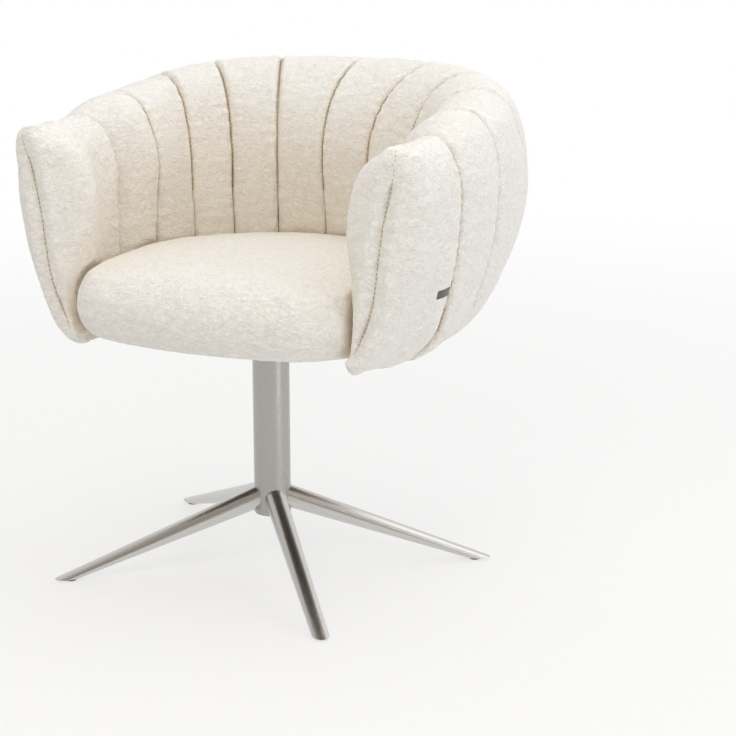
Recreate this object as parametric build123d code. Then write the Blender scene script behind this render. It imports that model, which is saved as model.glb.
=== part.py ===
"""Swivel tub chair: a channelled tub seat that turns on a four-legged pedestal.

Millimetres, +Z up. The origin is on the floor under the swivel axis, and the
seat faces -Y. Turns round the tub are degrees from the middle of the back,
positive towards +X. Leg angles are degrees from the front, positive towards +X.
"""
from build123d import *
from math import atan2, cos, degrees, hypot, pi, radians, sin, sqrt, tan
import os

# Fits and clearances
fit_gap = 0.2
running_gap = 0.05
cushion_gap = 2.0
overrun = 20.0

# Column and its swivel fit
column_diameter = 50.8
column_wall = 2.0
column_top = 316.0
column_below_hub = 27.5
cap_thickness = 3.0
cap_skirt = 12.0
cap_skirt_wall = 2.0
spindle_diameter = 30.0
spindle_length = 178.0
spindle_bore = 16.0
bush_flange = 2.5
upper_bush_length = 32.0
lower_bush_length = 24.0
lower_bush_lift = 20.0
collar_diameter = 44.0
ring_groove_depth = 1.5
ring_thickness = 1.6
ring_width = 4.0
ring_opening = 6.0
washer_thickness = 1.6
washer_width = 7.0

# Thrust ball bearing between bush flange and collar
race_diameter = 47.0
race_thickness = 3.4
ball_diameter = 6.0
ball_count = 14
ball_groove_depth = 0.9
cage_thickness = 2.4
cage_rim = 0.8

# Legs
leg_front_angle = 44.5
leg_rear_angle = 121.6
base_turn = -6.0
leg_hub_height = 103.5
leg_foot_radius = 284.0
leg_foot_height = 5.0
leg_overhang = 40.0
leg_hub_depth = 33.0
leg_foot_depth = 12.0
leg_hub_width = 30.5
leg_foot_width = 22.5
leg_wall = 2.0
sole_height = 3.0
toe_length = 40.0
column_bottom = leg_hub_height - column_below_hub

# Glides
glide_diameter = 15.0
glide_edge_round = 0.8
glide_screw_head = 7.0
glide_screw_shank = 3.5
glide_screw_recess = 0.6
glide_screw_length = 6.0

# Mounting plate and bolts
plate_side = 190.0
plate_corner = 22.0
plate_thickness = 4.0
plate_bolt_spacing = 150.0
bolt_diameter = 8.0
bolt_head_diameter = 14.0
bolt_head_height = 4.4
bolt_socket = 5.0
bolt_socket_depth = 2.6
bolt_washer_diameter = 20.0
bolt_washer_thickness = 1.6
nut_flange_diameter = 22.0
nut_flange_thickness = 1.5
nut_barrel_diameter = 10.4
nut_barrel_length = 10.0

# Seat heights that the tub's heights are counted from
seat_lift = 28.0
board_thickness = 15.0
board_bottom = column_top + seat_lift
board_top = board_bottom + board_thickness

# Tub padding in plan, from its foot outwards, at the back, at the side and at the arm's last seam
tub_centre_back = 2.0
seam_turns = (0.0, 23.0, 41.8, 59.2, 80.8, 102.6)
arm_turn_limit = seam_turns[-1]
arm_seam_lead = 0.9
arm_spread_power = 1.5
seam_depth = 5.0
inner_radius = 201.0
inner_centre_back = -21.0
waist_draw_back = 43.0
waist_draw_side = 21.0
waist_spread_arm = 17.5
rim_width_back = 152.5
rim_width_side = 76.5
rim_width_arm = 48.5
shoulder_width_back = 30.5
shoulder_width_side = 60.5
shoulder_width_arm = 51.0
hem_draw_back = 69.0
hem_draw_side = 32.0
hem_draw_arm = 24.0
tuck_draw_back = 62.5
tuck_draw_side = 62.5
tuck_draw_arm = 69.5
tuck_width = 16.0
waist_squareness = 3.5
crest_squareness = 2.4
bulge_squareness = 3.3
hem_squareness = 3.3
tuck_squareness = 2.6
waist_back = inner_radius - waist_draw_back
waist_side = inner_radius - waist_draw_side
waist_arm = inner_radius + waist_spread_arm
crest_back = waist_back + rim_width_back
crest_side = waist_side + rim_width_side
crest_arm = waist_arm + rim_width_arm
bulge_back = crest_back + shoulder_width_back
bulge_side = crest_side + shoulder_width_side
bulge_arm = crest_arm + shoulder_width_arm
hem_back = bulge_back - hem_draw_back
hem_side = bulge_side - hem_draw_side
hem_arm = bulge_arm - hem_draw_arm
tuck_back = hem_back - tuck_draw_back
tuck_side = hem_side - tuck_draw_side
tuck_arm = hem_arm - tuck_draw_arm

# Tub padding in height, the rim falling from the back to the side and the arm
tub_height = 334.5
rim_fall_side = 35.5
rim_fall_arm = 21.5
waist_drop_back = 145.0
waist_drop_side = 111.5
waist_drop_arm = 81.0
bulge_drop_back = 160.5
bulge_drop_side = 91.0
bulge_drop_arm = 70.0
hem_lift = 40.5
tuck_drop = 27.5
crest_height_back = board_bottom + tub_height
crest_height_side = crest_height_back - rim_fall_side
crest_height_arm = crest_height_side - rim_fall_arm
waist_height_back = crest_height_back - waist_drop_back
waist_height_side = crest_height_side - waist_drop_side
waist_height_arm = crest_height_arm - waist_drop_arm
bulge_height_back = crest_height_back - bulge_drop_back
bulge_height_side = crest_height_side - bulge_drop_side
bulge_height_arm = crest_height_arm - bulge_drop_arm
hem_height = board_bottom + hem_lift
tuck_height = board_bottom - tuck_drop

# Arm front: its last full section
nose_start = -148.0
nose_length = 37.5
nose_inner_step = 2.0
nose_waist_draw = 20.5
nose_rim_width = 73.5
nose_shoulder_width = 39.5
nose_hem_draw = 37.5
nose_tuck_draw = 50.5
nose_crest_drop = 4.5
nose_waist_drop = 136.5
nose_tuck_drop = 15.0
nose_tip = nose_start - nose_length
nose_inner = inner_radius + nose_inner_step
nose_waist = nose_inner - nose_waist_draw
nose_crest = nose_waist + nose_rim_width
nose_bulge = nose_crest + nose_shoulder_width
nose_hem = nose_bulge - nose_hem_draw
nose_tuck = nose_hem - nose_tuck_draw
nose_crest_height = crest_height_arm - nose_crest_drop
nose_waist_height = nose_crest_height - nose_waist_drop
nose_tuck_height = board_bottom - nose_tuck_drop

# Arm front: the seam that its rounded nose closes on
seam_top_step = 1.0
seam_bulge_draw = 5.0
seam_waist_draw = 14.0
seam_hem_draw = 43.5
seam_tuck_draw = 13.0
seam_wrap_draw = 16.0
seam_foot_draw = 8.0
seam_top_drop = 19.0
seam_bulge_drop = 30.0
seam_waist_drop = 78.0
seam_hem_lift = 28.0
seam_tuck_lift = 3.0
seam_ledge_lift = 6.0
seam_foot_lift = 18.0
seam_top_out = nose_crest + seam_top_step
seam_bulge_out = seam_top_out - seam_bulge_draw
seam_waist_out = seam_top_out - seam_waist_draw
seam_hem_out = nose_hem - seam_hem_draw
seam_tuck_out = nose_tuck - seam_tuck_draw
seam_wrap_out = nose_tuck - seam_wrap_draw
seam_foot_out = nose_tuck - seam_foot_draw
seam_top_height = nose_crest_height - seam_top_drop
seam_bulge_height = seam_top_height - seam_bulge_drop
seam_waist_height = seam_top_height - seam_waist_drop
seam_hem_height = board_bottom + seam_hem_lift
seam_tuck_height = board_bottom + seam_tuck_lift
seam_ledge_height = board_bottom + seam_ledge_lift
seam_foot_height = board_bottom + seam_foot_lift

# Steps of the arm front's loft
arm_middle_shares = (0.217, 0.609)
nose_forward_shares = (0.0, 0.55, 0.84, 1.0)
nose_fullness_shares = (1.0, 0.80, 0.50, 0.20)

# Seat cushion
cushion_front = 246.0
cushion_front_corner = 84.0
cushion_corner_turn = 80.0
cushion_rest_drop = 3.0
cushion_depth = 101.0
cushion_crown = 10.0
cushion_front_roll = 70.0
cushion_side_roll = 16.0
cushion_roll_angles = (-76.0, -50.0, -18.0, 18.0, 50.0, 76.0)
cushion_bottom = board_bottom - cushion_rest_drop
cushion_shoulder = cushion_bottom + cushion_depth

# Seat board
board_margin = 33.0
board_back_step = 8.0
board_corner_step = 64.0
board_nose_margin = 48.0
board_nose_inset = 24.0
board_front_inset = 72.0
board_nose_corner = 60.0
vent_diameter = 26.0
vent_count = 8
vent_circle = 150.0
board_half_width = inner_radius + board_margin
board_back = board_half_width - board_back_step
board_corner = board_half_width - board_corner_step
board_arm_reach = -nose_start - board_nose_margin
board_nose_half_width = inner_radius - board_nose_inset
board_nose_reach = cushion_front - board_front_inset

# Bent wood wall inside the padding
wall_thickness = 12.0
wall_drop_back = 52.0
wall_drop_arm = 138.0
wall_nose_margin = 52.0
block_width = 34.0
block_height = 30.0
block_depth = 24.0
block_bite = 2.0
block_leans = (28.0, 62.0)
screw_head = 8.0
screw_shank = 4.5
screw_length = 38.0
screw_end_margin = 24.0
screw_spacing = 60.0
screws_along_arm = 3
screw_corner_leans = (25.0, 65.0)
wall_back_height = crest_height_back - wall_drop_back
wall_arm_height = crest_height_arm - wall_drop_arm
wall_arm_reach = -nose_start - wall_nose_margin

# Dust cover on the board's underside
cover_thickness = 1.2
cover_margin = 3.0
cover_hole_margin = 4.0


def plan_radius(turn, back, side, arm, squareness):
    """Distance from the tub's centre of a plan curve that is square-shouldered behind and opens along the arms."""
    across = abs(sin(radians(turn)))
    along = cos(radians(turn))
    if along >= 0:
        return ((across / side) ** squareness + (along / back) ** squareness) ** (-1 / squareness)
    forward_share = (abs(turn) - 90.0) / (arm_turn_limit - 90.0)
    return side + (arm - side) * forward_share ** arm_spread_power


def seat_radius(turn):
    """Distance from the tub's centre to the padding's foot, a round back that runs on as straight arms."""
    across = sin(radians(turn))
    along = cos(radians(turn))
    offset = inner_centre_back - tub_centre_back
    round_part = offset * along + sqrt(inner_radius ** 2 - (offset * across) ** 2)
    if round_part * along >= offset:
        return round_part
    return inner_radius / abs(across)


def rim_height(turn, back, side, arm):
    """Height that falls from the back to the side and on to the arm with the cosine of the turn."""
    along = cos(radians(turn))
    last = cos(radians(arm_turn_limit))
    if along >= 0:
        return side + (back - side) * (1 - cos(pi * along)) / 2
    return side + (arm - side) * along / last


def tub_section_points(turn, sunk):
    """The tub's section at a turn, as named (out, up) points, sunk by the seam depth where sewn."""
    inner = seat_radius(turn)
    waist = plan_radius(turn, waist_back, waist_side, waist_arm, waist_squareness)
    crest = plan_radius(turn, crest_back, crest_side, crest_arm, crest_squareness)
    bulge = plan_radius(turn, bulge_back, bulge_side, bulge_arm, bulge_squareness)
    bulge_height = rim_height(turn, bulge_height_back, bulge_height_side, bulge_height_arm)
    hem = plan_radius(turn, hem_back, hem_side, hem_arm, hem_squareness)
    tuck = plan_radius(turn, tuck_back, tuck_side, tuck_arm, tuck_squareness)
    return {
        "foot": (inner + sunk, board_top),
        "waist": (waist + sunk, rim_height(turn, waist_height_back, waist_height_side, waist_height_arm)),
        "crest": (crest, rim_height(turn, crest_height_back, crest_height_side, crest_height_arm) - sunk),
        "bulge": (bulge - sunk, bulge_height),
        "hem": (hem - sunk, hem_height),
        "tuck": (tuck - sunk, tuck_height + sunk / 2),
        "wrap": (tuck - sunk - tuck_width, tuck_height + sunk / 2),
        "ledge": (tuck - sunk - tuck_width, board_bottom),
    }


def two_arcs(start, start_way, end, end_way):
    """Two arcs that leave start along one direction and meet end along another, without a kink."""
    start, end = Vector(*start), Vector(*end)
    start_way, end_way = Vector(*start_way).normalized(), Vector(*end_way).normalized()
    span, ways = end - start, start_way + end_way
    spread = 4 - ways.dot(ways)
    reach = (sqrt(span.dot(ways) ** 2 + spread * span.dot(span)) - span.dot(ways)) / spread
    first_corner, second_corner = start + start_way * reach, end - end_way * reach
    middle = (first_corner + second_corner) * 0.5
    return [
        TangentArc(start, middle, tangent=start_way),
        TangentArc(middle, end, tangent=second_corner - first_corner),
    ]


def padding_face(points):
    """Closed section of the padding: inner face, roll over the rim, outer face and the wrap under the board."""
    foot, waist, crest = points["foot"], points["waist"], points["crest"]
    bulge, hem, tuck = points["bulge"], points["hem"], points["tuck"]
    wrap, ledge = points["wrap"], points["ledge"]
    rise = (waist[0] - foot[0], waist[1] - foot[1])
    lower_arc = TangentArc(bulge, hem, tangent=(0, -1))
    tuck_arc = TangentArc(hem, tuck, tangent=lower_arc % 1)
    edges = [Line(foot, waist)]
    edges += two_arcs(waist, rise, crest, (1, 0))
    edges += two_arcs(crest, (1, 0), bulge, (0, -1))
    edges += [lower_arc, tuck_arc, Line(tuck, wrap), Line(wrap, ledge), Line(ledge, foot)]
    return make_face(edges)


def radial_plane(turn):
    """Upright plane through the tub's centre, local x outwards at the turn and local y up."""
    across = sin(radians(turn))
    along = cos(radians(turn))
    return Plane(origin=(0, tub_centre_back, 0), x_dir=(across, along, 0), z_dir=(along, -across, 0))


def padding_between(first_turn, last_turn):
    """One stuffed channel, full in its middle and sunk to the seams at both sides."""
    middle_turn = (first_turn + last_turn) / 2
    stations = ((first_turn, seam_depth), (middle_turn, 0), (last_turn, seam_depth))
    return loft([radial_plane(turn) * padding_face(tub_section_points(turn, sunk)) for turn, sunk in stations])


def nose_points(fullness):
    """Section near the arm's front, from full (1) down to the front seam (0)."""
    full = {
        "foot": (nose_inner, board_top),
        "waist": (nose_waist, nose_waist_height),
        "crest": (nose_crest, nose_crest_height),
        "bulge": (nose_bulge, bulge_height_arm),
        "hem": (nose_hem, hem_height),
        "tuck": (nose_tuck, nose_tuck_height),
        "wrap": (nose_tuck - tuck_width, nose_tuck_height),
        "ledge": (nose_tuck - tuck_width, board_bottom),
    }
    seam = {
        "foot": (seam_foot_out, seam_foot_height),
        "waist": (seam_waist_out, seam_waist_height),
        "crest": (seam_top_out, seam_top_height),
        "bulge": (seam_bulge_out, seam_bulge_height),
        "hem": (seam_hem_out, seam_hem_height),
        "tuck": (seam_tuck_out, seam_tuck_height),
        "wrap": (seam_wrap_out, seam_tuck_height),
        "ledge": (seam_wrap_out, seam_ledge_height),
    }
    return {
        name: tuple(s + (f - s) * fullness for f, s in zip(full[name], seam[name]))
        for name in full
    }


def arm_middle_points(place):
    """Full section of the arm between its last radial seam and its nose."""
    across = sin(radians(arm_turn_limit))
    along = cos(radians(arm_turn_limit))
    rear = tub_section_points(arm_turn_limit, 0)
    front = nose_points(1)
    points = {}
    for name, (out, up) in rear.items():
        start = tub_centre_back + out * along
        share = (place - start) / (nose_start - start)
        points[name] = (out * across + (front[name][0] - out * across) * share, up + (front[name][1] - up) * share)
    return points


def across_plane(place):
    """Upright plane across the arm, local x outwards and local y up."""
    return Plane(origin=(0, place, 0), x_dir=(1, 0, 0), z_dir=(0, -1, 0))


def arm_front_padding():
    """The wide last panel of the arm, lofted from just behind its last radial seam and cut there, to the nose."""
    turn = arm_turn_limit
    first_turn = turn - arm_seam_lead
    sections = [radial_plane(first_turn) * padding_face(tub_section_points(first_turn, seam_depth))]
    start = tub_centre_back + bulge_arm * cos(radians(turn))
    for share in arm_middle_shares:
        place = start + (nose_start - start) * share
        sections.append(across_plane(place) * padding_face(arm_middle_points(place)))
    for forward_share, fullness in zip(nose_forward_shares, nose_fullness_shares):
        place = nose_start + (nose_tip - nose_start) * forward_share
        sections.append(across_plane(place) * padding_face(nose_points(fullness)))
    return split(loft(sections), bisect_by=radial_plane(turn), keep=Keep.TOP)


def u_outline(half_width, back, corner, reach):
    """Closed U plan: a back with two round corners and straight sides that end at the reach."""
    return make_face([
        Line((-half_width, -reach), (half_width, -reach)),
        Line((half_width, -reach), (half_width, back - corner)),
        RadiusArc((half_width, back - corner), (half_width - corner, back), -corner),
        Line((half_width - corner, back), (corner - half_width, back)),
        RadiusArc((corner - half_width, back), (-half_width, back - corner), -corner),
        Line((-half_width, back - corner), (-half_width, -reach)),
    ])


def upright_block(face, bottom, height):
    """Solid that stands a plan face up from its bottom height."""
    return extrude(Pos(0, 0, bottom) * face, height)


def upright_rod(diameter, bottom, height, x=0.0, y=0.0):
    return Pos(x, y, bottom + height / 2) * Cylinder(diameter / 2, height)


def board_plan(growth=0.0):
    """Plan of the seat board with its narrower nose under the cushion; growth makes the space it needs."""
    back_part = u_outline(
        board_half_width + growth, board_back + growth, board_corner + growth, board_arm_reach + growth)
    nose = Pos(0, -board_nose_reach / 2) * RectangleRounded(
        2 * (board_nose_half_width + growth), board_nose_reach + 2 * growth, board_nose_corner)
    return (back_part + nose).face()


def board_solid(growth=0.0):
    return upright_block(board_plan(growth), board_bottom, board_thickness)


def bolt_places():
    half = plate_bolt_spacing / 2
    return [(x, y) for x in (-half, half) for y in (-half, half)]


def seat_board():
    board = board_solid()
    through = 2 * board_thickness
    for x, y in bolt_places():
        board -= upright_rod(nut_barrel_diameter, board_bottom - board_thickness / 2, through, x, y)
        board -= upright_rod(
            nut_flange_diameter + 2 * fit_gap, board_top - nut_flange_thickness - fit_gap,
            board_thickness, x, y)
    for index in range(vent_count):
        angle = 2 * pi * (index + 0.5) / vent_count
        x = vent_circle * cos(angle)
        y = vent_circle * sin(angle)
        board -= upright_rod(vent_diameter, board_bottom - board_thickness / 2, through, x, y)
    return board - wall_screw_solids()


def wall_solid(growth=0.0):
    """Bent wood wall that stands on the board, its top sloping down from the back to the arms."""
    outside = board_half_width + growth
    inside = board_half_width - wall_thickness - growth
    shrink = wall_thickness + growth
    outer = u_outline(outside, board_back + growth, board_corner + growth, wall_arm_reach + growth)
    inner = u_outline(inside, board_back - shrink, board_corner - shrink, wall_arm_reach + overrun)
    wall = upright_block(outer, board_top, wall_back_height - board_top + growth)
    wall -= upright_block(inner, board_bottom, wall_back_height - board_bottom + growth + overrun)
    side = make_face(Polyline(
        (-wall_arm_reach - overrun, board_bottom),
        (board_back + overrun, board_bottom),
        (board_back + overrun, wall_back_height + growth),
        (-wall_arm_reach - overrun, wall_arm_height + growth),
        close=True))
    across = Plane(origin=(-outside - overrun, 0, 0), x_dir=(0, 1, 0), z_dir=(1, 0, 0))
    return wall & extrude(across * side, 2 * (outside + overrun))


def corner_block(side, lean):
    """Glue block in the round corner between the wall and the board, leaning from the straight back."""
    centre_x = side * (board_half_width - board_corner)
    centre_y = board_back - board_corner
    out = board_corner - wall_thickness + block_bite - block_depth / 2
    across = side * sin(radians(lean))
    along = cos(radians(lean))
    place = Pos(centre_x + out * across, centre_y + out * along, board_top + block_height / 2)
    return place * Rot(0, 0, -side * lean) * Box(block_width, block_depth, block_height) - wall_solid()


def wall_screw_places():
    """Points in the middle of the wall's thickness: along both arms, round both corners and behind."""
    middle = board_half_width - wall_thickness / 2
    corner_radius = board_corner - wall_thickness / 2
    centre_y = board_back - board_corner
    places = [(0.0, board_back - wall_thickness / 2)]
    for side in (-1, 1):
        for number in range(screws_along_arm):
            places.append((side * middle, number * screw_spacing + screw_end_margin - wall_arm_reach))
        for lean in screw_corner_leans:
            out = side * (board_half_width - board_corner + corner_radius * sin(radians(lean)))
            places.append((out, centre_y + corner_radius * cos(radians(lean))))
    return places


def wall_screw_solids():
    """Countersunk wood screws driven up through the board into the wall's lower edge."""
    head_height = (screw_head - screw_shank) / 2
    screws = []
    for x, y in wall_screw_places():
        head = Pos(x, y, board_bottom + head_height / 2) * Cone(screw_head / 2, screw_shank / 2, head_height)
        screws.append(head + upright_rod(screw_shank, board_bottom, screw_length, x, y))
    return screws


def bent_wall():
    return wall_solid() - wall_screw_solids()


def cushion_face(inset, front):
    """Plan of the cushion: a round back, straight sides and a bowed front with soft corners."""
    radius = inner_radius - cushion_gap - inset
    corner_width = cushion_front_corner * tan(radians(cushion_corner_turn / 2))
    front_half = radius - corner_width
    bow = front_half * tan(radians((90 - cushion_corner_turn) / 2))
    side_end = -(front - cushion_front_corner - bow)
    corner_end = side_end - cushion_front_corner
    right = [(radius, inner_centre_back), (radius, side_end), (front_half, corner_end)]
    left = [(-x, y) for x, y in right]
    corner = TangentArc(right[1], right[2], tangent=(0, -1))
    other_corner = TangentArc(left[1], left[2], tangent=(0, -1))
    back = (0, inner_centre_back + radius)
    return make_face([
        RadiusArc(right[0], back, -radius),
        RadiusArc(back, left[0], -radius),
        Line(left[0], left[1]),
        other_corner,
        TangentArc(right[2], left[2], tangent=corner % 1),
        corner,
        Line(right[1], right[0]),
    ])


def cushion_form(growth=0.0):
    """Loft from the rolled underside over the full edge, closed by a low domed crown; growth makes its space."""
    middle = (cushion_bottom + cushion_shoulder) / 2
    half_height = (cushion_shoulder - cushion_bottom) / 2 + growth
    faces = []
    for lean in cushion_roll_angles:
        drawn_share = 1 - cos(radians(lean))
        inset = cushion_side_roll * drawn_share - growth
        front = cushion_front - cushion_front_roll * drawn_share + growth
        height = middle + half_height * sin(radians(lean)) / sin(radians(cushion_roll_angles[-1]))
        faces.append(Pos(0, 0, height) * cushion_face(inset, front))
    body = loft(faces) + extrude(faces[-1], cushion_crown)
    reach = front + inner_centre_back
    dome_radius = (reach ** 2 + cushion_crown ** 2) / (2 * cushion_crown)
    dome_centre = cushion_shoulder + growth + cushion_crown - dome_radius
    return body & Pos(0, inner_centre_back, dome_centre) * Sphere(dome_radius)


def seat_cushion():
    bottom = cushion_bottom - overrun
    return cushion_form() - upright_block(board_plan(fit_gap), bottom, board_top - bottom)


def padding_pocket():
    """Space that the board, the wall, its blocks and the cushion take out of the padding round them."""
    return [board_solid(fit_gap), wall_solid(fit_gap), cushion_form(cushion_gap)] + corner_blocks_space()


def corner_blocks_space():
    """Glue blocks as the space that the foam is cut away for."""
    return [corner_block(side, lean) for side in (-1, 1) for lean in block_leans]


def right_channels():
    """Solids of the channels from the back's middle seam round to the last seam of the +X arm."""
    pocket = padding_pocket()
    return [
        padding_between(first_turn, last_turn) - pocket
        for first_turn, last_turn in zip(seam_turns, seam_turns[1:])
    ]


def mirrored(shape):
    return mirror(shape, about=Plane.YZ)


def dust_cover():
    """Thin cloth on the board's underside, inside the wraps, with a hole for the mounting plate."""
    radius = tuck_back - seam_depth - tuck_width - cover_margin
    half = board_nose_half_width - seam_depth - cover_margin
    plan = Circle(radius) + Pos(0, -board_nose_reach / 2) * RectangleRounded(
        2 * half, board_nose_reach - 2 * cover_margin, board_nose_corner - cover_margin)
    hole = RectangleRounded(
        plate_side + 2 * cover_hole_margin, plate_side + 2 * cover_hole_margin, plate_corner + cover_hole_margin)
    kept = (plan - hole) & board_plan(-cover_margin)
    return upright_block(kept.face(), board_bottom - cover_thickness, cover_thickness)


def column_tube():
    length = column_top - column_bottom
    bore = column_diameter - 2 * column_wall
    return upright_rod(column_diameter, column_bottom, length) - upright_rod(bore, column_bottom, length)


def column_cap():
    """Plug that closes the column's lower end, its skirt up inside the tube."""
    bore = column_diameter - 2 * column_wall
    disc = upright_rod(column_diameter, column_bottom - cap_thickness, cap_thickness)
    disc = fillet(disc.edges().filter_by(GeomType.CIRCLE).sort_by(Axis.Z)[0], cap_thickness / 2)
    skirt = upright_rod(bore, column_bottom, cap_skirt)
    skirt -= upright_rod(bore - 2 * cap_skirt_wall, column_bottom, cap_skirt)
    return disc + skirt


def bush(bottom, length, flange):
    """Plain bearing pressed in the column, with a flange on the rim where it has one."""
    bore = column_diameter - 2 * column_wall
    body = upright_rod(bore, bottom, length)
    if flange:
        body += upright_rod(column_diameter, bottom + length, bush_flange)
    return body - upright_rod(spindle_diameter + 2 * running_gap, bottom - overrun, length + 2 * overrun)


def upper_bush():
    return bush(column_top - upper_bush_length, upper_bush_length, True)


def spindle_end():
    return lower_race_bottom() - spindle_length


def lower_bush_bottom():
    return spindle_end() + lower_bush_lift


def lower_bush():
    return bush(lower_bush_bottom(), lower_bush_length, False)


def lower_race_bottom():
    return column_top + bush_flange


def ball_height():
    return lower_race_bottom() + race_thickness - ball_groove_depth + ball_diameter / 2


def upper_race_bottom():
    return ball_height() + ball_diameter / 2 - ball_groove_depth


def ball_circle():
    return (race_diameter + spindle_diameter) / 4


def groove():
    """Ring that the balls run in, a running gap larger than they are."""
    return Pos(0, 0, ball_height()) * Torus(ball_circle(), ball_diameter / 2 + running_gap)


def bearing_race(bottom):
    race = upright_rod(race_diameter, bottom, race_thickness)
    race -= upright_rod(spindle_diameter + 2 * running_gap, bottom, race_thickness)
    return race - groove()


def ball_places():
    """Points evenly spaced round the ball circle."""
    angles = [2 * pi * index / ball_count for index in range(ball_count)]
    return [(ball_circle() * cos(angle), ball_circle() * sin(angle)) for angle in angles]


def bearing_balls():
    return Compound(children=[Pos(x, y, ball_height()) * Sphere(ball_diameter / 2) for x, y in ball_places()])


def ball_cage():
    """Flat ring with a pocket for each ball."""
    bottom = ball_height() - cage_thickness / 2
    cage = upright_rod(race_diameter - 2 * cage_rim, bottom, cage_thickness)
    cage -= upright_rod(spindle_diameter + 2 * cage_rim, bottom, cage_thickness)
    for x, y in ball_places():
        cage -= upright_rod(ball_diameter + running_gap, bottom, cage_thickness, x, y)
    return cage


def plate_bottom():
    return board_bottom - plate_thickness


def spindle():
    """Turned spindle: collar on the bearing, shaft through both bushes and the groove for its ring."""
    collar_bottom = upper_race_bottom() + race_thickness
    body = upright_rod(collar_diameter, collar_bottom, plate_bottom() - collar_bottom)
    body += upright_rod(spindle_diameter, spindle_end(), collar_bottom - spindle_end())
    body -= upright_rod(spindle_bore, spindle_end() - overrun, plate_bottom() - spindle_end() + 2 * overrun)
    groove_ring = upright_rod(spindle_diameter + overrun, ring_bottom(), ring_thickness)
    groove_ring -= upright_rod(spindle_diameter - 2 * ring_groove_depth, ring_bottom(), ring_thickness)
    return body - groove_ring


def washer_bottom():
    return lower_bush_bottom() - running_gap - washer_thickness


def ring_bottom():
    return washer_bottom() - ring_thickness


def spindle_washer():
    washer = upright_rod(spindle_diameter + 2 * washer_width, washer_bottom(), washer_thickness)
    return washer - upright_rod(spindle_diameter, washer_bottom(), washer_thickness)


def retaining_ring():
    """Open spring ring seated in the spindle's groove."""
    seat = spindle_diameter - 2 * ring_groove_depth
    ring = upright_rod(seat + 2 * ring_width, ring_bottom(), ring_thickness)
    ring -= upright_rod(seat, ring_bottom(), ring_thickness)
    opening = Pos(0, -seat / 2 - ring_width, ring_bottom() + ring_thickness / 2)
    return ring - opening * Box(ring_opening, 2 * ring_width + ring_groove_depth, ring_thickness)


def mounting_plate():
    """Steel plate with round corners and a hole for each bolt."""
    plate = upright_block(RectangleRounded(plate_side, plate_side, plate_corner), plate_bottom(), plate_thickness)
    for x, y in bolt_places():
        plate -= upright_rod(bolt_diameter + 2 * fit_gap, plate_bottom(), plate_thickness, x, y)
    return plate


def bolt_washers():
    bottom = plate_bottom() - bolt_washer_thickness
    washers = []
    for x, y in bolt_places():
        washer = upright_rod(bolt_washer_diameter, bottom, bolt_washer_thickness, x, y)
        washers.append(washer - upright_rod(bolt_diameter + 2 * fit_gap, bottom, bolt_washer_thickness, x, y))
    return Compound(children=washers)


def mounting_bolts():
    """Socket button bolts from below, through washer and plate into the tee nuts."""
    head_top = plate_bottom() - bolt_washer_thickness
    head_bottom = head_top - bolt_head_height
    tip = board_top - nut_flange_thickness
    bolts = []
    for x, y in bolt_places():
        head = upright_rod(bolt_head_diameter, head_bottom, bolt_head_height, x, y)
        head = fillet(head.edges().filter_by(GeomType.CIRCLE).sort_by(Axis.Z)[0], bolt_head_height / 2)
        socket = Pos(x, y) * RegularPolygon(bolt_socket / 2, 6, major_radius=False)
        head -= upright_block(socket, head_bottom, bolt_socket_depth)
        bolts.append(head + upright_rod(bolt_diameter, head_top, tip - head_top, x, y))
    return Compound(children=bolts)


def tee_nuts():
    """Flanged nuts pressed into the board from above."""
    nuts = []
    for x, y in bolt_places():
        nut = upright_rod(nut_flange_diameter, board_top - nut_flange_thickness, nut_flange_thickness, x, y)
        nut += upright_rod(nut_barrel_diameter, board_top - nut_barrel_length, nut_barrel_length, x, y)
        nuts.append(nut - upright_rod(bolt_diameter, board_top - nut_barrel_length, nut_barrel_length, x, y))
    return Compound(children=nuts)


def leg_slope():
    """Angle of the leg's middle line below the horizontal."""
    return degrees(atan2(leg_hub_height - leg_foot_height, leg_foot_radius))


def leg_length():
    return hypot(leg_hub_height - leg_foot_height, leg_foot_radius)


def leg_section_plane(distance):
    """Plane across the leg at a distance along its middle line, for a leg that points along +X."""
    slope = radians(leg_slope())
    place = (distance * cos(slope), 0, leg_hub_height - distance * sin(slope))
    return Plane(origin=place, x_dir=(0, 1, 0), z_dir=(cos(slope), 0, -sin(slope)))


def leg_form(start, end, wall):
    """Oval taper between two distances along the leg, thinned by a wall for its inside."""
    faces = []
    for distance in (start, end):
        share = distance / leg_length()
        width = leg_hub_width + (leg_foot_width - leg_hub_width) * share - 2 * wall
        depth = leg_hub_depth + (leg_foot_depth - leg_hub_depth) * share - 2 * wall
        faces.append(leg_section_plane(distance) * Ellipse(width / 2, depth / 2))
    return loft(faces)


def leg():
    """Tapered oval tube along +X, mitred round the column and cut level for its glide."""
    body = leg_form(0, leg_length() + leg_overhang, 0)
    body -= leg_form(0, leg_length() - toe_length, leg_wall)
    body -= upright_rod(column_diameter, 0, column_top)
    reach = leg_foot_radius + leg_overhang + overrun
    body -= Pos(reach / 2, 0, sole_height - overrun) * Box(2 * reach, leg_hub_width + overrun, 2 * overrun)
    return body - upright_rod(glide_screw_shank, 0, glide_screw_length, leg_foot_radius, 0)


def glide():
    """Low plastic disc under the toe, countersunk from below for its screw."""
    disc = upright_rod(glide_diameter, 0, sole_height, leg_foot_radius, 0)
    disc = fillet(disc.edges().filter_by(GeomType.CIRCLE).sort_by(Axis.Z)[0], glide_edge_round)
    return disc - glide_screw_space(0)


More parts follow.
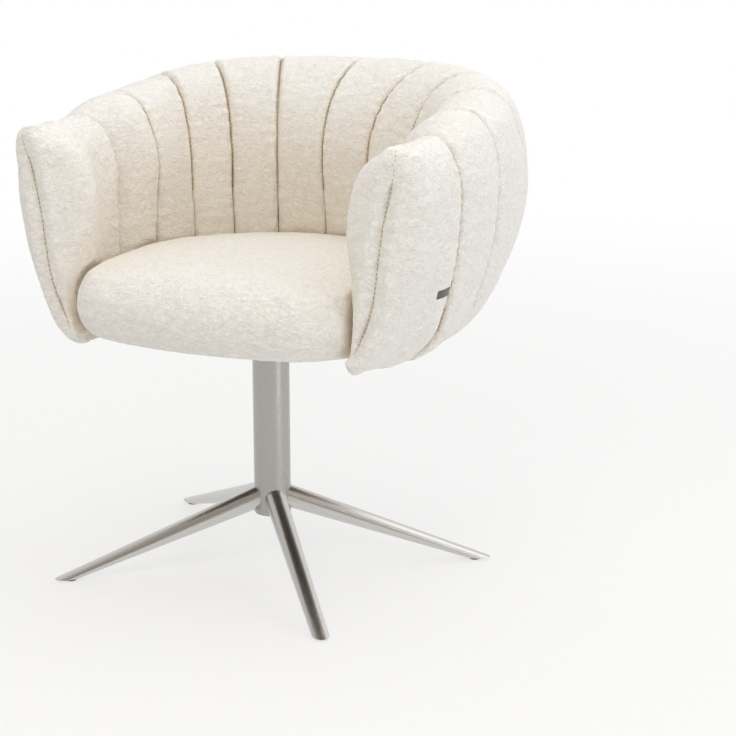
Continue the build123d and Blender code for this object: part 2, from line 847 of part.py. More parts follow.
def glide_screw_space(bottom):
    """Head, cone and shank of the glide's screw, from a height at or under its head."""
    cone_height = (glide_screw_head - glide_screw_shank) / 2
    cone = Cone(glide_screw_head / 2, glide_screw_shank / 2, cone_height)
    space = Pos(leg_foot_radius, 0, glide_screw_recess + cone_height / 2) * cone
    if bottom < glide_screw_recess:
        space += upright_rod(glide_screw_head, bottom, glide_screw_recess - bottom, leg_foot_radius, 0)
    return space + upright_rod(
        glide_screw_shank, glide_screw_recess, glide_screw_length - glide_screw_recess, leg_foot_radius, 0)


def glide_screw():
    return glide_screw_space(glide_screw_recess)


def leg_places():
    """Name and turn of each leg; -Y is the front and +X the side named left, as the sitter has it."""
    return {
        "front_left": leg_front_angle,
        "front_right": -leg_front_angle,
        "rear_left": leg_rear_angle,
        "rear_right": -leg_rear_angle,
    }


def turned(shape, angle):
    """Swing a shape made along +X to an angle from the front."""
    return Rot(0, 0, angle + base_turn - 90) * shape


def sub_parts():
    """Every sub-part by its node name."""
    parts = {
        "column_tube": column_tube(),
        "column_cap": column_cap(),
        "upper_bush": upper_bush(),
        "lower_bush": lower_bush(),
        "bearing_lower_race": bearing_race(lower_race_bottom()),
        "bearing_balls": bearing_balls(),
        "bearing_cage": ball_cage(),
        "bearing_upper_race": bearing_race(upper_race_bottom()),
        "spindle": spindle(),
        "spindle_washer": spindle_washer(),
        "retaining_ring": retaining_ring(),
        "mounting_plate": mounting_plate(),
        "bolt_washers": bolt_washers(),
        "mounting_bolts": mounting_bolts(),
        "tee_nuts": tee_nuts(),
        "seat_board": seat_board(),
        "bent_wall": bent_wall(),
        "wall_screws": Compound(children=wall_screw_solids()),
        "dust_cover": dust_cover(),
        "seat_cushion": seat_cushion(),
    }
    one_leg, one_glide, one_screw = leg(), glide(), glide_screw()
    screws = []
    for name, angle in leg_places().items():
        parts[f"leg_{name}"] = turned(one_leg, angle)
        parts[f"glide_{name}"] = turned(one_glide, angle)
        screws.append(turned(one_screw, angle))
    parts["glide_screws"] = Compound(children=screws)
    blocks = [corner_block(side, lean) for side in (-1, 1) for lean in block_leans]
    parts["corner_blocks"] = Compound(children=blocks)
    for number, channel in enumerate(right_channels(), 1):
        parts[f"channel_left_{number}"] = channel
        parts[f"channel_right_{number}"] = mirrored(channel)
    arm = arm_front_padding() - padding_pocket()
    parts["arm_front_left"] = arm
    parts["arm_front_right"] = mirrored(arm)
    return parts


os.makedirs("parts", exist_ok=True)
for node, shape in sub_parts().items():
    export_step(shape, f"parts/{node}.step")
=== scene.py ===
"""Looks of the swivel tub chair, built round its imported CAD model.

Metres, +Z up, the floor at z = 0 under the swivel axis, and the seat faces -Y.
Turns round the tub are degrees from the middle of the back, positive towards +X.
"""

from math import cos, pi, radians, sin

import bmesh
import bpy
import numpy as np
from mathutils import Matrix, Vector, noise
from mathutils.bvhtree import BVHTree


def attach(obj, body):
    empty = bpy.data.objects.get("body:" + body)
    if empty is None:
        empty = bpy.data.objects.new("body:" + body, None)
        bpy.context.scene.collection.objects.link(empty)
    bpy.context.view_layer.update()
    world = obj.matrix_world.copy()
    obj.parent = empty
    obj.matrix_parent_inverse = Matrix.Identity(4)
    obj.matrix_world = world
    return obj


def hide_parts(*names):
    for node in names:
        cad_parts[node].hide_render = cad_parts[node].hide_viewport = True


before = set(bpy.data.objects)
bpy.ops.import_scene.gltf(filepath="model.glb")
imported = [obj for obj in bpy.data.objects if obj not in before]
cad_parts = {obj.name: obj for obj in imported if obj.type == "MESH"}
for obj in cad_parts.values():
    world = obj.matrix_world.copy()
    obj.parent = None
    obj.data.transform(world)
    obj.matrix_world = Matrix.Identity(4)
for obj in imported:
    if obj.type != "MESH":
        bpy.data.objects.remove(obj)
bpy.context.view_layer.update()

mm = 0.001

# The tub's seams, as part.py has them: upright planes through its centre, at these turns on both sides
tub_centre_y = 2 * mm
seam_turns = (0.0, 23.0, 41.8, 59.2, 80.8, 102.6)

# Front seam of the +X arm: (out, forward, up) from its top to the wrap under the seat
arm_seam = [Vector(point) * mm for point in (
    (260, -138, 622), (261, -150, 616), (263, -166, 605), (260, -178, 588), (254, -185, 565), (245, -187, 525),
    (240, -187, 491), (236, -187, 455), (232, -187, 426), (224, -186, 400), (208, -181, 364), (188, -171, 344),
    (176, -160, 336))]

# Padding: mesh size, the cloth's run, and how far it may swell
voxel = 4.5 * mm
slack = 2.5 * mm
swell_limit = 6.0 * mm
pressure = 4.0
last_frame = 20
held_below = 0.98
seam_hold = 3 * voxel
start_rounds = 2
cloth_rounds = 3

# What each point of the padding faces: open air, another part close by, or the padding's own folds, which set the
# cover's painted fold shade
hidden_within = 25 * mm
open_rounds = 2
recess_start = 9 * mm
recess_far = 0.45
recess_count = 16
recess_rounds = 3
golden_turn = 137.5

# Gap given to a point that a seam doesn't reach
far_off = 1.0

# Seams between channels: the pull inwards, and the crest of the rim where the cloth bridges them
seam_pull = 2.2 * mm
seam_reach = 5.0 * mm
seam_power = 1.5
crest_lean = 0.35
crest_ease = 0.6
crest_fill = 4.0 * mm
crest_reach = 17 * mm

# Front seam of an arm: a wide pull, a sharp tuck, a roll beside it and the peak at the seam's third point
front_seam_pull = 5.0 * mm
front_seam_reach = 9.0 * mm
tuck_pull = 5.0 * mm
tuck_reach = 2.5 * mm
roll_lift = 4.0 * mm
roll_gap = 17 * mm
roll_reach = 9 * mm
peak_place = 2
peak_lift = 13.0 * mm
peak_reach = 21 * mm
peak_way = (0.0, -0.6, 0.8)

# Gathers beside the seams, slow waves over the cloth, and its nubs
gather_depth = 0.7 * mm
gather_reach = 14 * mm
gather_length = 17 * mm
gather_slant = 0.5
gather_drift = 4
gather_drift_length = 40 * mm
wave_depth = 0.8 * mm
wave_length = 34 * mm
nub_depth = 0.35 * mm
nub_length = 7 * mm
seed_step = 10.0

# Thread in the seams, whose beads also paint the shade in the seams' creases: the ray fan that finds them, and its
# stitches
fan_radius = 235 * mm
fan_height = 500 * mm
fan_reach = 320 * mm
fan_first = -88.0
fan_last = 165.0
fan_steps = 70
fan_gap = 30 * mm
front_parts = 4
thread_side = 2.5 * mm
thread_sink = 0.5 * mm
thread_sink_outside = 2.2 * mm
thread_waver = 1.2 * mm
thread_waver_length = 25 * mm
thread_radius = 0.8 * mm
stitch_pitch = 6.0 * mm
stitch_length = 5.6 * mm

# Band of cover cloth round the seat board's edge
wrap_low = 344.3 * mm
wrap_high = 358.7 * mm
wrap_steps = 240
wrap_gap = 1.2 * mm
wrap_thickness = 0.8 * mm

# Blank plate on the +X arm's outer side
plate_middle_y = -88 * mm
plate_middle_z = 428 * mm
plate_width = 31 * mm
plate_height = 11 * mm
plate_rows = 4
plate_columns = 12
plate_lift = 0.6 * mm
plate_thickness = 0.8 * mm
plate_bevel = 0.25 * mm
plate_bevel_steps = 2

# Camera of the photograph
camera_place = (1.1524, -2.2675, 0.9441)
camera_lean = 75.34
camera_turn = 23.94
camera_lens = 93.6
sensor_width = 36.0

# Soft lamps: name, place, what it faces, size, watts, colour, and the rays it is hidden from
lamps = (
    ("overhead_softbox", (0.5, 0.3, 2.6), (0, 0, 0.45), (2.4, 2.4), 16, "#FFFFFF", ()),
    ("front_softbox", (0.2, -1.7, 2.1), (0, 0.2, 0.5), (1.4, 1.2), 17, "#FFFAF2", ("glossy",)),
    ("back_softbox", (1.6, 1.9, 1.6), (0, 0, 0.5), (1.4, 1.8), 9, "#FFFFFF", ()),
    ("front_fill", (-1.6, -2.2, 1.5), (0, 0, 0.4), (1.6, 1.6), 4, "#FFF7EC", ("glossy",)),
    ("side_strip", (2.2, -0.55, 0.8), (0, 0, 0.4), (0.4, 1.6), 5, "#FFFFFF", ()),
    ("steel_strip", (2.3, -0.7, 0.7), (0, 0, 0.3), (0.7, 1.4), 16, "#FFFFFF", ("diffuse",)))
floor_radius = 30
floor_segments = 96

channel_nodes = [f"channel_left_{number}" for number in range(1, len(seam_turns))]
foot_names = [f"{end}_{side}" for end in ("front", "rear") for side in ("left", "right")]


def rgb(code):
    """Linear colour of an sRGB hex value."""
    parts = [int(code[place:place + 2], 16) / 255 for place in (1, 3, 5)]
    return [part / 12.92 if part <= 0.04045 else ((part + 0.055) / 1.055) ** 2.4 for part in parts] + [1.0]


def new_material(name):
    """A material with its node tree, its shader and its object coordinates."""
    material = bpy.data.materials.new(name)
    material.use_nodes = True
    tree = material.node_tree
    coordinates = tree.nodes.new("ShaderNodeTexCoord")
    return material, tree, tree.nodes["Principled BSDF"], coordinates.outputs["Object"]


def add(tree, kind, settings=None, inputs=None):
    """One node: its settings, and its inputs as values or as the sockets that feed them."""
    node = tree.nodes.new(kind)
    for key, value in (settings or {}).items():
        setattr(node, key, value)
    for key, value in (inputs or {}).items():
        if isinstance(value, bpy.types.NodeSocket):
            tree.links.new(value, node.inputs[key])
        else:
            node.inputs[key].default_value = value
    return node


def colours(tree, source, stops):
    """A colour ramp over (place, hex) stops."""
    node = add(tree, "ShaderNodeValToRGB", inputs={"Fac": source})
    ramp = node.color_ramp
    ramp.elements[0].position, ramp.elements[0].color = stops[0][0], rgb(stops[0][1])
    ramp.elements[1].position, ramp.elements[1].color = stops[-1][0], rgb(stops[-1][1])
    for place, code in stops[1:-1]:
        ramp.elements.new(place).color = rgb(code)
    return node.outputs["Color"]


def per_metre(size):
    """Texture scale for a feature of that size in metres."""
    return 1 / size


def boucle(name, base, light, painted_fold_tint):
    """Looped wool-blend bouclé: matt and milky, with short curly flecks, and a painted warm shade where the padding
    faces itself, standing in for light bounced between its folds.

    The real loops are about 3 mm, too fine to show from here, so they are drawn about 5 by 2 mm.
    """
    material, tree, shader, place = new_material(name)
    bend = add(tree, "ShaderNodeTexNoise", inputs={"Vector": place, "Scale": per_metre(14 * mm), "Detail": 2.0})
    bent = add(tree, "ShaderNodeMixRGB", {"blend_type": "LINEAR_LIGHT"},
               {"Fac": 0.007, "Color1": place, "Color2": bend.outputs["Color"]})
    flat = add(tree, "ShaderNodeMapping", inputs={"Vector": bent.outputs["Color"], "Scale": (1.0, 1.0, 2.3)})
    loops = add(tree, "ShaderNodeTexNoise", inputs={
        "Vector": flat.outputs["Vector"], "Scale": per_metre(5.4 * mm), "Detail": 3.0, "Roughness": 0.55,
        "Distortion": 1.1})
    ridges = add(tree, "ShaderNodeMath", {"operation": "PINGPONG"}, {0: loops.outputs["Fac"], 1: 0.5})
    nubs = add(tree, "ShaderNodeTexVoronoi", {"feature": "SMOOTH_F1"}, {
        "Vector": flat.outputs["Vector"], "Scale": per_metre(5.0 * mm), "Smoothness": 0.5, "Randomness": 1.0})
    height = add(tree, "ShaderNodeMath", {"operation": "MULTIPLY_ADD"},
                 {0: nubs.outputs["Distance"], 1: -0.4, 2: ridges.outputs["Value"]})
    fuzz = add(tree, "ShaderNodeTexNoise", inputs={"Vector": place, "Scale": per_metre(1.4 * mm), "Detail": 2.0})
    rough = add(tree, "ShaderNodeMath", {"operation": "MULTIPLY_ADD"},
                {0: fuzz.outputs["Fac"], 1: 0.16, 2: height.outputs["Value"]})
    bump = add(tree, "ShaderNodeBump", inputs={
        "Strength": 0.9, "Distance": 2.8 * mm, "Height": rough.outputs["Value"]})
    tint = colours(tree, height.outputs["Value"], [(0.05, base), (0.42, light)])
    # Painted shade: the fold mask multiplies the cloth's colour by the warm tint where the padding faces itself
    painted_fold_shade = add(tree, "ShaderNodeAttribute", {"attribute_name": "painted_fold_shade"})
    warm = add(tree, "ShaderNodeMix", {"data_type": "RGBA", "blend_type": "MULTIPLY"}, {
        "Factor": painted_fold_shade.outputs["Fac"], 6: tint, 7: rgb(painted_fold_tint)})
    tree.links.new(warm.outputs[2], shader.inputs["Base Color"])
    tree.links.new(bump.outputs["Normal"], shader.inputs["Normal"])
    shader.inputs["Roughness"].default_value = 0.95
    shader.inputs["Specular IOR Level"].default_value = 0.15
    shader.inputs["Sheen Weight"].default_value = 0.3
    shader.inputs["Sheen Roughness"].default_value = 0.5
    return material


def brushed_steel(name, colour, roughness, grain, stretch):
    """Satin stainless steel: fine lines or grains that spread the light, drawn coarser than the real ones to show."""
    material, tree, shader, place = new_material(name)
    along = add(tree, "ShaderNodeMapping", inputs={"Vector": place, "Scale": stretch})
    lines = add(tree, "ShaderNodeTexNoise", inputs={
        "Vector": along.outputs["Vector"], "Scale": per_metre(grain), "Detail": 4.0, "Roughness": 0.7})
    shade = add(tree, "ShaderNodeMapRange", inputs={
        "Value": lines.outputs["Fac"], "From Min": 0.3, "From Max": 0.7, "To Min": roughness - 0.05,
        "To Max": roughness + 0.07})
    bump = add(tree, "ShaderNodeBump", inputs={
        "Strength": 0.05, "Distance": 0.1 * mm, "Height": lines.outputs["Fac"]})
    tint = colours(tree, lines.outputs["Fac"], [(0.3, colour[0]), (0.7, colour[1])])
    tree.links.new(tint, shader.inputs["Base Color"])
    tree.links.new(shade.outputs["Result"], shader.inputs["Roughness"])
    tree.links.new(bump.outputs["Normal"], shader.inputs["Normal"])
    shader.inputs["Metallic"].default_value = 1.0
    return material


def plain_finish(name, dark, light, grain, roughness, metallic=0.0, stretch=(1, 1, 1)):
    """A surface with a fine mottle in its colour, roughness and height."""
    material, tree, shader, place = new_material(name)
    along = add(tree, "ShaderNodeMapping", inputs={"Vector": place, "Scale": stretch})
    mottle = add(tree, "ShaderNodeTexNoise", inputs={
        "Vector": along.outputs["Vector"], "Scale": per_metre(grain), "Detail": 4.0, "Roughness": 0.6})
    tint = colours(tree, mottle.outputs["Fac"], [(0.3, dark), (0.7, light)])
    shade = add(tree, "ShaderNodeMapRange", inputs={
        "Value": mottle.outputs["Fac"], "To Min": roughness - 0.06, "To Max": roughness + 0.06})
    bump = add(tree, "ShaderNodeBump", inputs={
        "Strength": 0.4, "Distance": 0.05 * mm, "Height": mottle.outputs["Fac"]})
    tree.links.new(tint, shader.inputs["Base Color"])
    tree.links.new(shade.outputs["Result"], shader.inputs["Roughness"])
    tree.links.new(bump.outputs["Normal"], shader.inputs["Normal"])
    shader.inputs["Metallic"].default_value = metallic
    return material


def points_of(mesh):
    """Vertex places of a mesh as rows."""
    values = np.empty(len(mesh.vertices) * 3)
    mesh.vertices.foreach_get("co", values)
    return values.reshape(-1, 3)


def normals_of(mesh):
    """Vertex normals of a mesh as rows."""
    values = np.empty(len(mesh.vertices) * 3)
    mesh.vertex_normals.foreach_get("vector", values)
    return values.reshape(-1, 3)


def set_points(mesh, points):
    """Moves a mesh's vertices to the given rows."""
    mesh.vertices.foreach_set("co", points.ravel())
    mesh.update()


def linked(name, mesh):
    """A new object in the scene with that mesh."""
    piece = bpy.data.objects.new(name, mesh)
    bpy.context.scene.collection.objects.link(piece)
    return piece


def linked_from(work, name):
    """A new object from a bmesh, which it frees."""
    mesh = bpy.data.meshes.new(name)
    work.to_mesh(mesh)
    work.free()
    return linked(name, mesh)


def smooth_faces(piece):
    """Shades a piece as one smooth surface."""
    for polygon in piece.data.polygons:
        polygon.use_smooth = True


def rides_seat(piece, material):
    """Gives a piece its material and the record's slot, and turns it with the seat."""
    piece.data.materials.clear()
    piece.data.materials.append(material)
    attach(piece, "seat")


def apply_modifiers(piece):
    """Replaces a piece's mesh by what its modifiers make of it."""
    graph = bpy.context.evaluated_depsgraph_get()
    mesh = bpy.data.meshes.new_from_object(piece.evaluated_get(graph))
    piece.modifiers.clear()
    piece.vertex_groups.clear()
    piece.data = mesh


def closed_copy(name, node):
    """A new piece from a CAD node's shape, as one closed mesh of even quads."""
    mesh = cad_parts[node].data.copy()
    mesh.materials.clear()
    work = bmesh.new()
    work.from_mesh(mesh)
    bmesh.ops.remove_doubles(work, verts=work.verts, dist=0.01 * mm)
    work.to_mesh(mesh)
    work.free()
    piece = linked(name, mesh)
    remesh = piece.modifiers.new("Remesh", "REMESH")
    remesh.mode = "VOXEL"
    remesh.voxel_size = voxel
    apply_modifiers(piece)
    return piece


def ray_tree(pieces):
    """Ray tree of several pieces, to find what faces a surface."""
    places, faces, start = [], [], 0
    for piece in pieces:
        places += [vertex.co.copy() for vertex in piece.data.vertices]
        faces += [[start + corner for corner in polygon.vertices] for polygon in piece.data.polygons]
        start = len(places)
    return BVHTree.FromPolygons(places, faces)


def node_tree(nodes):
    """Ray tree of CAD nodes."""
    return ray_tree([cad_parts[node] for node in nodes])


def recess_rays():
    """Directions spread evenly over a ball."""
    rays = []
    for number in range(recess_count):
        up = 1 - 2 * (number + 0.5) / recess_count
        turn, out = radians(golden_turn * number), (1 - up ** 2) ** 0.5
        rays.append(Vector((sin(turn) * out, cos(turn) * out, up)))
    return rays


def open_share(piece, tree):
    """1 for each point that faces open air, and 0 where another part lies close in front of it."""
    points, normals = points_of(piece.data), normals_of(piece.data)
    share = np.ones(len(points))
    for index, (point, normal) in enumerate(zip(points, normals)):
        start = Vector(point + normal * voxel)
        if tree.ray_cast(start, Vector(normal), hidden_within)[0] is not None:
            share[index] = 0.0
    return share


def recess_share(piece, tree):
    """How much of what each point faces is the padding itself, from 0 in the open to 1 well inside a fold, which sets
    the painted fold shade.
    """
    points, normals = points_of(piece.data), normals_of(piece.data)
    share, rays = np.zeros(len(points)), recess_rays()
    for index, (point, normal) in enumerate(zip(points, normals)):
        start = Vector(point + normal * recess_start)
        for way in rays:
            aim = (Vector(normal) + way).normalized()
            if tree.ray_cast(start, aim, recess_far)[0] is not None:
                share[index] += 1 / recess_count
    return spread(piece, share, recess_rounds)


def spread(piece, values, rounds):
    """Averages values over each point's neighbours, round by round."""
    edges = np.empty(len(piece.data.edges) * 2, dtype=int)
    piece.data.edges.foreach_get("vertices", edges)
    first, second = edges[::2], edges[1::2]
    count = np.bincount(edges, minlength=len(values)).astype(float)
    for _ in range(rounds):
        total = np.bincount(first, values[second], len(values)) + np.bincount(second, values[first], len(values))
        values = (values + total / count) / 2
    return values


def smoothed(piece, points, rounds):
    """Points after that many rounds of averaging with their neighbours."""
    return np.stack([spread(piece, points[:, axis], rounds) for axis in range(3)], axis=1)


def seam_gap(points, turn):
    """Distance of points from an upright seam plane at that turn, and its direction."""
    across, along = sin(radians(turn)), cos(radians(turn))
    back = points[:, 1] - tub_centre_y
    out = points[:, 0] * across + back * along
    side = points[:, 0] * along - back * across
    return np.where(out > 0, np.abs(side), far_off), np.array((along, -across, 0.0))


def line_gap(points, line):
    """Distance of points from a line of points, and how far along it each one is."""
    best = np.full(len(points), far_off)
    travel = np.zeros(len(points))
    done = 0.0
    for start, end in zip(line, line[1:]):
        start, step = np.array(start), np.array(end - start)
        length = np.linalg.norm(step)
        share = np.clip((points - start) @ step / length ** 2, 0, 1)
        gap = np.linalg.norm(points - start - share[:, None] * step, axis=1)
        nearer = gap < best
        best[nearer] = gap[nearer]
        travel[nearer] = done + share[nearer] * length
        done += length
    return best, travel


def cloth_on(piece, share):
    """Cloth that swells where the share is high and is held where it is low."""
    held = piece.vertex_groups.new(name="held")
    for index, value in enumerate(share):
        if value < held_below:
            held.add([index], 1 - value ** 2, "REPLACE")
    cloth = piece.modifiers.new("Cloth", "CLOTH")
    settings = cloth.settings
    settings.quality = 4
    settings.mass = 0.4
    settings.tension_stiffness = settings.compression_stiffness = 18
    settings.shear_stiffness = 8
    settings.bending_stiffness = 1.2
    settings.tension_damping = settings.compression_damping = 8
    settings.use_pressure = True
    settings.uniform_pressure_force = pressure
    settings.vertex_group_mass = held.name
    settings.effector_weights.gravity = 0
    cloth.collision_settings.use_collision = False
    cloth.collision_settings.use_self_collision = False
    cloth.point_cache.frame_end = last_frame


def swollen(pieces):
    """Runs every piece's cloth at once, keeps the result and caps how far each point moved."""
    rest = {piece: points_of(piece.data) for piece in pieces}
    for step in range(1, last_frame + 1):
        bpy.context.scene.frame_set(step)
    for piece in pieces:
        apply_modifiers(piece)
        moves = points_of(piece.data) - rest[piece]
        length = np.maximum(np.linalg.norm(moves, axis=1), 1e-9)
        moves *= (np.minimum(length, swell_limit) / length)[:, None]
        set_points(piece.data, smoothed(piece, rest[piece] + moves, cloth_rounds))
    bpy.context.scene.frame_set(1)


def waves(points, size, seed):
    """Smooth noise between -1 and 1 with features of that size."""
    shift = Vector((seed, 2 * seed, 3 * seed))
    return np.array([noise.noise(Vector(point) / size + shift) for point in points])


def finish_padding(piece, share, painted_fold_shade, seams, seed):
    """Pulls the seams in, gathers the cloth beside them and gives it its waves and nubs."""
    # Painted fold shade per point, which the cover's colour reads
    layer = piece.data.attributes.new("painted_fold_shade", "FLOAT", "POINT")
    layer.data.foreach_set("value", painted_fold_shade)
    subdivision = piece.modifiers.new("Subdivision", "SUBSURF")
    subdivision.levels = subdivision.render_levels = 1
    fine_share = share_after(piece, share)
    points, normals = points_of(piece.data), normals_of(piece.data)
    inward = -normals
    for seam in seams:
        if isinstance(seam, float):
            gap, across = seam_gap(points, seam)
            flat = inward - (inward @ across)[:, None] * across
            way, travel = flat, points[:, 2] + np.hypot(points[:, 0], points[:, 1]) * gather_slant
            crest = np.clip((normals[:, 2] - crest_lean) / (1 - crest_lean), 0, 1)
            depth = seam_pull * np.exp(-(gap / seam_reach) ** seam_power) * (1 - crest_ease * crest)
            depth -= crest_fill * crest * np.exp(-(gap / crest_reach) ** 2)
        else:
            gap, travel = line_gap(points, seam)
            way = inward
            depth = front_seam_pull * np.exp(-gap / front_seam_reach) + tuck_pull * np.exp(-gap / tuck_reach)
            depth -= roll_lift * np.exp(-((gap - roll_gap) / roll_reach) ** 2)
            peak_gap = np.linalg.norm(points - np.array(seam[peak_place]), axis=1)
            points += np.outer(np.exp(-(peak_gap / peak_reach) ** 2) * peak_lift, peak_way)
        drift = gather_drift * waves(points, gather_drift_length, seed + 5)
        ripple = np.sin(travel / gather_length * 2 * pi + drift)
        depth += gather_depth * ripple * np.exp(-gap / gather_reach)
        points += way * (depth * fine_share)[:, None]
    height = wave_depth * waves(points, wave_length, seed) + nub_depth * waves(points, nub_length, seed + 1)
    points += normals * (height * fine_share)[:, None]
    set_points(piece.data, points)
    smooth_faces(piece)


def share_after(piece, share):
    """Applies the piece's modifiers and carries a value per point over to the finer mesh."""
    layer = piece.data.attributes.new("share", "FLOAT", "POINT")
    layer.data.foreach_set("value", share)
    apply_modifiers(piece)
    values = np.empty(len(piece.data.vertices))
    piece.data.attributes["share"].data.foreach_get("value", values)
    piece.data.attributes.remove(piece.data.attributes["share"])
    return values


def other_side(piece, name):
    """A piece's twin across the chair's middle."""
    mesh = piece.data.copy()
    work = bmesh.new()
    work.from_mesh(mesh)
    bmesh.ops.transform(work, matrix=Matrix.Scale(-1, 4, (1, 0, 0)), verts=work.verts)
    bmesh.ops.reverse_faces(work, faces=work.faces)
    work.to_mesh(mesh)
    work.free()
    return linked(name, mesh)


def seams_of(node):
    """Seam turns beside a channel, and the front seam of an arm. The cushion has none."""
    if node == "seat_cushion":
        return []
    side = 1 if "left" in node else -1
    if node.startswith("arm"):
        line = [Vector((side * point.x, point.y, point.z)) for point in arm_seam]
        return [side * seam_turns[-1], line]
    number = int(node.split("_")[-1])
    return [side * turn for turn in seam_turns[number - 1:number + 1]]


def make_padding(cover):
    """Every stuffed channel, both arm fronts and the cushion, swollen as cloth and dressed in the cover."""
    soft = channel_nodes + ["arm_front_left", "seat_cushion"]
    mirrored = [node.replace("left", "right") for node in soft if "left" in node]
    tree = node_tree(soft + mirrored + ["bent_wall", "seat_board", "mounting_plate"])
    rough, opens = {}, {}
    for node in soft:
        piece = closed_copy(f"{node}_padding", node)
        opens[node] = spread(piece, open_share(piece, tree), open_rounds)
        share = opens[node].copy()
        points, normals = points_of(piece.data), normals_of(piece.data)
        for seam in seams_of(node):
            gap = seam_gap(points, seam)[0] if isinstance(seam, float) else line_gap(points, seam)[0]
            share *= np.clip(gap / seam_hold, 0, 1)
        points = smoothed(piece, points, start_rounds)
        points = points - normals * (share * slack)[:, None]
        set_points(piece.data, points)
        cloth_on(piece, share)
        rough[node] = piece
    swollen(list(rough.values()))
    for node in list(rough):
        if "left" in node:
            twin = node.replace("left", "right")
            rough[twin] = other_side(rough[node], f"{twin}_padding")
            opens[twin] = opens[node]
    for seed, (node, piece) in enumerate(rough.items()):
        finish_padding(piece, opens[node], recess_share(piece, tree), seams_of(node), seed_step * seed)
        rides_seat(piece, cover)
        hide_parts(node)
    return rough


def seam_paths():
    """Each seam as the points of a ray fan round the tub's section, and each arm's front seam."""
    paths = []
    for side in (-1, 1):
        for turn in seam_turns if side > 0 else seam_turns[1:]:
            across, along = side * sin(radians(turn)), cos(radians(turn))
            middle = Vector((across * fan_radius, tub_centre_y + along * fan_radius, fan_height))
            out = Vector((across, along, 0))
            ways = []
            for step in range(fan_steps + 1):
                lean = radians(fan_first + (fan_last - fan_first) * step / fan_steps)
                ways.append(out * sin(lean) + Vector((0, 0, cos(lean))))
            beside = Vector((along, -across, 0))
            sinks = [thread_sink_outside if way.dot(out) > 0 else thread_sink for way in ways]
            paths.append([(middle + way * fan_reach, -way, beside, sink) for way, sink in zip(ways, sinks)])
        front = [Vector((side * point.x, point.y, point.z)) for point in arm_seam[1:]]
        between = [start.lerp(end, part / front_parts)
                   for start, end in zip(front, front[1:]) for part in range(front_parts)]
        back, sideways = Vector((0, 1, 0)), Vector((1, 0, 0))
        paths.append([(point - back * fan_reach, back, sideways, thread_sink) for point in between])
    return paths


def seam_line(path, tree):
    """Where the cloth meets in a seam: rays on both sides of it give the depth, just under the cloth."""
    line = []
    for start, way, beside, sink in path:
        hits = [tree.ray_cast(start + beside * offset, way)[0] for offset in (-thread_side, thread_side)]
        if None not in hits:
            sink += thread_waver * noise.noise(start / thread_waver_length)
            line.append((hits[0] + hits[1]) / 2 + way * sink)
    return line


def along_line(line, pitch):
    """Points and directions every pitch along a line."""
    places, left = [], 0.0
    for start, end in zip(line, line[1:]):
        step = end - start
        if step.length > fan_gap or step.length == 0:
            left = 0.0
            continue
        while left <= step.length:
            places.append((start + step * (left / step.length), step.normalized()))
            left += pitch
        left -= step.length
    return places


def seam_threads_and_shade(padding):
    """Stitches that close every seam, one object of short thread beads, sunk between the channels, whose colour also
    paints the shade in the seams' creases.
    """
    tree = ray_tree(padding)
    bead = bmesh.new()
    for path in seam_paths():
        for place, way in along_line(seam_line(path, tree), stitch_pitch):
            turn = way.to_track_quat("Z", "X").to_matrix().to_4x4()
            size = Matrix.Diagonal((thread_radius, thread_radius, stitch_length / 2, 1.0))
            bmesh.ops.create_icosphere(
                bead, subdivisions=1, radius=1.0, matrix=Matrix.Translation(place) @ turn @ size)
    piece = linked_from(bead, "seam_threads_and_shade")
    smooth_faces(piece)
    # Waxed cotton thread and painted shade: a dull golden line in the cream cloth, darkened to stand for the shade in
    # the seams' creases
    thread = plain_finish("golden_thread_and_seam_shade", "#B9A277", "#CBB68D", 3 * mm, 0.8)
    rides_seat(piece, thread)


def edge_wrap(cover):
    """The band of cover cloth pulled round the seat board's edge, seen where two channels part."""
    tree = node_tree(["seat_board"])
    work = bmesh.new()
    bmesh.ops.create_circle(work, segments=wrap_steps, radius=1.0)
    for vertex in work.verts:
        way = vertex.co.normalized()
        hit = tree.ray_cast(way + Vector((0, 0, (wrap_low + wrap_high) / 2)), -way)[0]
        vertex.co = Vector((hit.x, hit.y, wrap_low)) + way * wrap_gap
    upper = bmesh.ops.extrude_edge_only(work, edges=work.edges[:])["geom"]
    rise = [item for item in upper if isinstance(item, bmesh.types.BMVert)]
    bmesh.ops.translate(work, verts=rise, vec=(0, 0, wrap_high - wrap_low))
    bmesh.ops.recalc_face_normals(work, faces=work.faces)
    piece = linked_from(work, "edge_wrap")
    thick = piece.modifiers.new("Solidify", "SOLIDIFY")
    thick.thickness = wrap_thickness
    thick.offset = 1.0
    apply_modifiers(piece)
    rides_seat(piece, cover)


